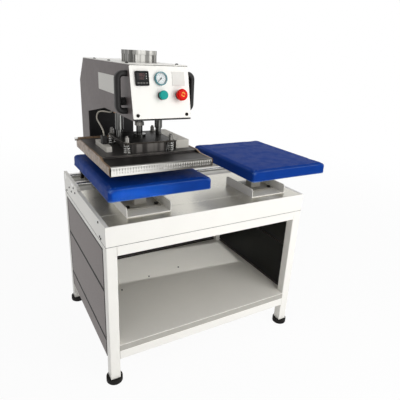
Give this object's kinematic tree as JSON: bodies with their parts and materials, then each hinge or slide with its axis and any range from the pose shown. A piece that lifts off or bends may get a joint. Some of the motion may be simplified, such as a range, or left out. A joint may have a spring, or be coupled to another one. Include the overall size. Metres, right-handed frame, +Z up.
{
  "type": "double-station pneumatic heat press",
  "caption": "Free-standing pneumatic heat press: a C-shaped head slides on guide shafts between padded tables and presses down a heated platen; shelf stand below.",
  "frame": {"origin": "on the floor, in the middle of the press's bounding box with the head over the left table", "axes": "+Z up, +Y from the operator to the back, +X to the operator's right along the guide shafts"},
  "size_m": [1.0465, 0.8304, 1.395],
  "materials": {
    "white_paint": "satin",
    "grey_paint": "satin",
    "black_paint": "satin",
    "board": "grey laminate",
    "shelf_sheet": "satin",
    "deck_sheet": "brushed",
    "foot_rubber": "matte",
    "pad_cover": "coated weave",
    "hard_chrome": "polished",
    "steel": "satin",
    "dark_steel": "blackened",
    "bright_zinc": "zinc plated",
    "spring_steel": "satin",
    "aluminium": "anodised",
    "cast_aluminium": "as cast",
    "brass": "turned",
    "bronze": "turned",
    "black_plastic": "fine grain",
    "controller_plastic": "satin",
    "gauge_case": "satin",
    "clear": "clear",
    "plate_pale": "printed blank",
    "green_plastic": "gloss",
    "red_plastic": "gloss",
    "lid_board": "matte",
    "release_film": "coated weave",
    "ruler_steel": "bright",
    "box_white": "satin",
    "cable_jacket": "matte"
  },
  "bodies": {
    "stand": {"stand_legs": "white_paint", "stand_rails": "white_paint", "feet": "foot_rubber", "panel_boards": "board", "shelf": "shelf_sheet", "base_skirt": "white_paint", "end_plates": "white_paint", "base_screws": "dark_steel", "deck_beams": "white_paint", "deck_plate": "deck_sheet", "rear_tray": "white_paint", "guide_shafts": "hard_chrome", "stop_collars": "dark_steel", "table_brackets": "white_paint", "table_posts": "grey_paint", "post_bolts": "dark_steel", "left_pad": "pad_cover", "right_pad": "pad_cover"},
    "head": {"carriage_plate": "grey_paint", "bearing_blocks": "aluminium", "frame_plates": "black_paint", "throat_plate": "black_paint", "left_side_cover": "grey_paint", "right_side_cover": "grey_paint", "top_cover": "white_paint", "rear_cover": "white_paint", "control_panel": "white_paint", "controller": "controller_plastic", "gauge_body": "gauge_case", "gauge_lens": "clear", "blank_plates": "plate_pale", "button_collars": "black_plastic", "cover_screws": "dark_steel", "left_handle": "black_plastic", "right_handle": "black_plastic", "cylinder_plate": "dark_steel", "guide_bushes": "bronze", "cylinder_barrel": "aluminium", "cylinder_caps": "cast_aluminium", "valve_block": "cast_aluminium", "air_inlet": "brass", "mains_gland": "black_plastic"},
    "press": {"piston_rod": "hard_chrome", "guide_rods": "hard_chrome", "carrier_plate": "steel", "pressure_block": "dark_steel", "suspension_bolts": "bright_zinc", "suspension_springs": "spring_steel", "heating_platen": "cast_aluminium", "platen_lid": "lid_board", "release_sheet": "release_film", "sheet_rod": "steel", "ruler_strip": "ruler_steel", "terminal_boxes": "box_white", "cable_block": "black_plastic", "heater_cable": "cable_jacket"},
    "start": {"start_button": "green_plastic"},
    "stop": {"stop_button": "red_plastic"},
    "knob": {"regulator_knob": "black_plastic"},
    "needle": {"gauge_needle": "black_paint"}
  },
  "joints": [
    {"name": "head_slide", "type": "slide", "parent": "stand", "child": "head", "axis": [1, 0, 0], "range_m": [-0.007, 0.613]},
    {"name": "press_stroke", "type": "slide", "parent": "head", "child": "press", "axis": [0, 0, -1], "range_m": [0, 0.038], "deforming": ["heater_cable"]},
    {"name": "start_push", "type": "slide", "parent": "head", "child": "start", "axis": [0, 0.9744, -0.225], "range_m": [0, 0.004], "stiffness_N_per_m": 600, "springref_m": -0.002},
    {"name": "stop_push", "type": "slide", "parent": "head", "child": "stop", "axis": [0, 0.9744, -0.225], "range_m": [0, 0.006]},
    {"name": "knob_turn", "type": "hinge", "parent": "head", "child": "knob", "pos_m": [-0.41113, -0.30137, 1.225], "axis": [-1, 0, 0], "range_deg": [-540, 540]},
    {"name": "needle_turn", "type": "hinge", "parent": "head", "child": "needle", "pos_m": [-0.29963, -0.35784, 1.30672], "axis": [0, 0.9744, -0.225], "range_deg": [0, 270], "stiffness_Nm_per_rad": 0.002}
  ]
}
